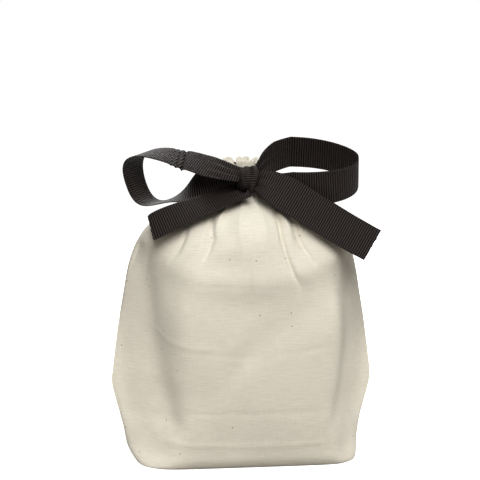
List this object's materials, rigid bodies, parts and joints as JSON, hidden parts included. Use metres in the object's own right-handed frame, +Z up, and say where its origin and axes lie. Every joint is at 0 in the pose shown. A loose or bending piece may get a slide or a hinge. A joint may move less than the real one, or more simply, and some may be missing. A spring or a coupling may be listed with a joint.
{
  "type": "fabric gift sack",
  "caption": "Boxed cotton gift sack, gathered at the neck by a ribbon drawstring tied in front as a bow with loops and tails.",
  "frame": {"origin": "middle of the underside of the base, on the surface that the sack stands on", "axes": "+Z up through the neck, -Y out of the front where the bow is tied, +X to the right as seen from the front"},
  "size_m": [0.1524, 0.0987, 0.1843],
  "materials": {
    "cotton": "matte",
    "ribbon": "satin"
  },
  "bodies": {
    "sack": {"front_panel": "cotton", "back_panel": "cotton", "left_side_seam": "cotton", "right_side_seam": "cotton", "bottom_seam": "cotton", "left_corner_seam": "cotton", "right_corner_seam": "cotton", "front_casing": "cotton", "back_casing": "cotton", "drawstring": "ribbon", "knot_wrap": "ribbon", "knot_core": "ribbon"},
    "left_loop": {"left_loop": "ribbon"},
    "right_loop": {"right_loop": "ribbon"},
    "left_tail": {"left_tail": "ribbon"},
    "right_tail": {"right_tail": "ribbon"}
  },
  "joints": [
    {"name": "left_loop_swing", "type": "hinge", "parent": "sack", "child": "left_loop", "pos_m": [0.0021, -0.02, 0.1618], "axis": [0.5, 0.866, 0], "range_deg": [0, 25], "stiffness_Nm_per_rad": 0.002},
    {"name": "right_loop_swing", "type": "hinge", "parent": "sack", "child": "right_loop", "pos_m": [0.0021, -0.02, 0.1618], "axis": [0, -0.9397, -0.342], "range_deg": [0, 25], "stiffness_Nm_per_rad": 0.002},
    {"name": "left_tail_swing", "type": "hinge", "parent": "sack", "child": "left_tail", "pos_m": [0.0021, -0.02, 0.1618], "axis": [0, 0, 1], "range_deg": [0, 45], "stiffness_Nm_per_rad": 0.002},
    {"name": "right_tail_swing", "type": "hinge", "parent": "sack", "child": "right_tail", "pos_m": [0.0021, -0.02, 0.1618], "axis": [-0.3478, 0.4969, -0.795], "range_deg": [0, 60], "stiffness_Nm_per_rad": 0.002}
  ]
}
